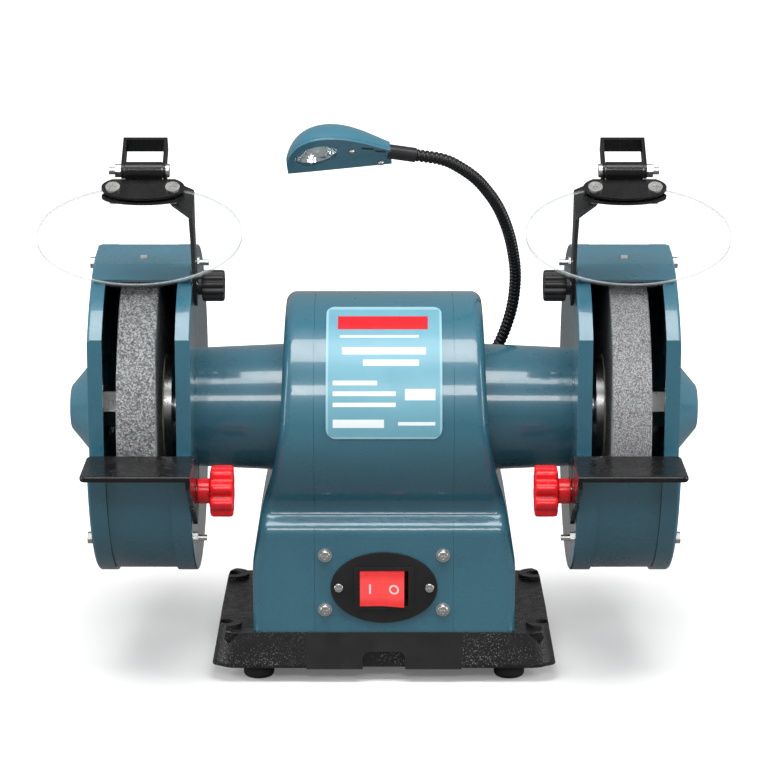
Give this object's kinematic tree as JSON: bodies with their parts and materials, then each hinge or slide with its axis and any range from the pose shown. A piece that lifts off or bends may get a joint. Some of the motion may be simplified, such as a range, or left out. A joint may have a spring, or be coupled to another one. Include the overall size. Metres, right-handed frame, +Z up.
{
  "type": "bench grinder",
  "caption": "Bench grinder with a wheel at each end of a motor spindle, guards, tool rests, clear eye shields and a gooseneck work lamp on a cast base.",
  "frame": {"origin": "centre of the four bench bolt holes, in the plane of the base's underside; the rubber feet reach 10 mm below it", "axes": "+X along the spindle to the right as the user faces the machine, +Y to the back, +Z up"},
  "size_m": [0.4356, 0.2645, 0.3658],
  "materials": {
    "blue_paint": "glossy teal-blue stove enamel over steel sheet",
    "blue_casting": "glossy teal-blue paint over cast aluminium",
    "black_casting": "black textured powder coat over cast iron",
    "black_panel": "satin black plastic",
    "black_steel": "satin black paint over bent steel plate",
    "black_plastic": "satin black moulded plastic",
    "red_plastic": "glossy red moulded plastic",
    "red_rocker": "translucent glossy red plastic",
    "zinc_steel": "bright zinc plate",
    "coarse_grit": "coarse grey abrasive",
    "fine_grit": "fine grey abrasive",
    "blotter_paper": "plain card",
    "rubber": "moulded rubber",
    "motor_iron": "stacked steel sheet",
    "winding_copper": "lacquered copper wire",
    "machined_steel": "turned steel",
    "clear_plastic": "clear polycarbonate",
    "label_film": "printed film",
    "lamp_reflector": "bright reflector and clear window",
    "neck_steel": "black ribbed steel hose"
  },
  "bodies": {
    "root": {"base_casting": "black_casting", "base_front_panel": "black_panel", "bottom_cover": "black_steel", "rubber_feet": "rubber", "cable_gland": "black_plastic", "motor_shell": "blue_paint", "right_end_bell": "blue_casting", "left_end_bell": "blue_casting", "base_bolts": "zinc_steel", "panel_screws": "zinc_steel", "nameplate": "label_film", "switch_plate": "black_plastic", "switch_body": "black_plastic", "stator_core": "motor_iron", "stator_windings": "winding_copper", "capacitor": "black_plastic", "bearing_outer_rings": "machined_steel", "guard_bolts": "zinc_steel", "guard_mount_screws": "zinc_steel", "deflector_bolts": "zinc_steel", "clamp_studs": "zinc_steel", "left_guard_back": "blue_paint", "right_guard_back": "blue_paint", "left_guard_cover": "blue_paint", "right_guard_cover": "blue_paint", "lamp_mount": "black_steel"},
    "rocker": {"switch_rocker": "red_rocker"},
    "spindle_set": {"bearing_balls": "machined_steel", "spindle": "machined_steel", "rotor_core": "motor_iron", "bearing_inner_rings": "machined_steel", "left_wheel": "coarse_grit", "right_wheel": "fine_grit", "wheel_blotters": "blotter_paper", "wheel_flanges": "machined_steel", "wheel_nuts": "zinc_steel"},
    "left_deflector": {"left_spark_deflector": "blue_paint"},
    "left_rest": {"left_tool_rest": "black_steel"},
    "left_rest_knob": {"left_rest_knob": "red_plastic"},
    "left_arm": {"left_shield_arm": "black_steel", "left_hinge_bolt": "zinc_steel"},
    "left_arm_knob": {"left_arm_knob": "black_plastic"},
    "left_shield": {"left_eye_shield": "clear_plastic", "left_shield_clamp": "black_steel", "left_clamp_screws": "zinc_steel"},
    "right_deflector": {"right_spark_deflector": "blue_paint"},
    "right_rest": {"right_tool_rest": "black_steel"},
    "right_rest_knob": {"right_rest_knob": "red_plastic"},
    "right_arm": {"right_shield_arm": "black_steel", "right_hinge_bolt": "zinc_steel"},
    "right_arm_knob": {"right_arm_knob": "black_plastic"},
    "right_shield": {"right_eye_shield": "clear_plastic", "right_shield_clamp": "black_steel", "right_clamp_screws": "zinc_steel"},
    "neck_low": {"gooseneck_lower": "neck_steel"},
    "neck_high": {"gooseneck_upper": "neck_steel"},
    "lamp_head": {"lamp_collar": "black_plastic", "lamp_shell": "blue_paint", "lamp_underside": "blue_paint", "lamp_lens": "lamp_reflector"}
  },
  "joints": [
    {"name": "spindle_spin", "type": "hinge", "parent": "root", "child": "spindle_set", "pos_m": [0, 0, 0.1615], "axis": [1, 0, 0], "continuous": true},
    {"name": "switch_rock", "type": "hinge", "parent": "root", "child": "rocker", "pos_m": [0, -0.0632, 0.056], "axis": [0, 0, 1], "range_deg": [0, 12]},
    {"name": "left_deflector_slide", "type": "slide", "parent": "root", "child": "left_deflector", "axis": [0, -0.9772, -0.2122], "range_m": [0, 0.0024]},
    {"name": "left_rest_slide", "type": "slide", "parent": "root", "child": "left_rest", "axis": [0, -1, 0], "range_m": [0, 0.02]},
    {"name": "left_rest_knob_turn", "type": "hinge", "parent": "root", "child": "left_rest_knob", "pos_m": [-0.112, -0.088, 0.1268], "axis": [1, 0, 0], "range_deg": [0, 360]},
    {"name": "left_arm_slide", "type": "slide", "parent": "root", "child": "left_arm", "axis": [0, -0.4465, 0.8948], "range_m": [-0.02, 0]},
    {"name": "left_arm_knob_turn", "type": "hinge", "parent": "root", "child": "left_arm_knob", "pos_m": [-0.113, -0.045, 0.2538], "axis": [1, 0, 0], "range_deg": [0, 360]},
    {"name": "left_shield_tilt", "type": "hinge", "parent": "left_arm", "child": "left_shield", "pos_m": [-0.1533, -0.06848, 0.33332], "axis": [-1, 0, 0], "range_deg": [0, 70]},
    {"name": "right_deflector_slide", "type": "slide", "parent": "root", "child": "right_deflector", "axis": [0, -0.9772, -0.2122], "range_m": [0, 0.0024]},
    {"name": "right_rest_slide", "type": "slide", "parent": "root", "child": "right_rest", "axis": [0, -1, 0], "range_m": [0, 0.02]},
    {"name": "right_rest_knob_turn", "type": "hinge", "parent": "root", "child": "right_rest_knob", "pos_m": [0.112, -0.088, 0.1268], "axis": [1, 0, 0], "range_deg": [0, 360]},
    {"name": "right_arm_slide", "type": "slide", "parent": "root", "child": "right_arm", "axis": [0, -0.4465, 0.8948], "range_m": [-0.02, 0]},
    {"name": "right_arm_knob_turn", "type": "hinge", "parent": "root", "child": "right_arm_knob", "pos_m": [0.113, -0.045, 0.2538], "axis": [1, 0, 0], "range_deg": [0, 360]},
    {"name": "right_shield_tilt", "type": "hinge", "parent": "right_arm", "child": "right_shield", "pos_m": [0.1533, -0.06848, 0.33332], "axis": [-1, 0, 0], "range_deg": [0, 70]},
    {"name": "neck_swivel", "type": "hinge", "parent": "root", "child": "neck_low", "pos_m": [0.06, 0.095, 0.13], "axis": [0.1334, 0, 0.9911], "range_deg": [-45, 45]},
    {"name": "neck_flex", "type": "hinge", "parent": "neck_low", "child": "neck_high", "pos_m": [0.0889, 0.061, 0.254], "axis": [0.3566, -0.8125, -0.4612], "range_deg": [-20, 15]},
    {"name": "lamp_turn", "type": "hinge", "parent": "neck_high", "child": "lamp_head", "pos_m": [0.0205, -0.015, 0.335], "axis": [-0.968, -0.1889, 0.1653], "range_deg": [-60, 60]}
  ]
}
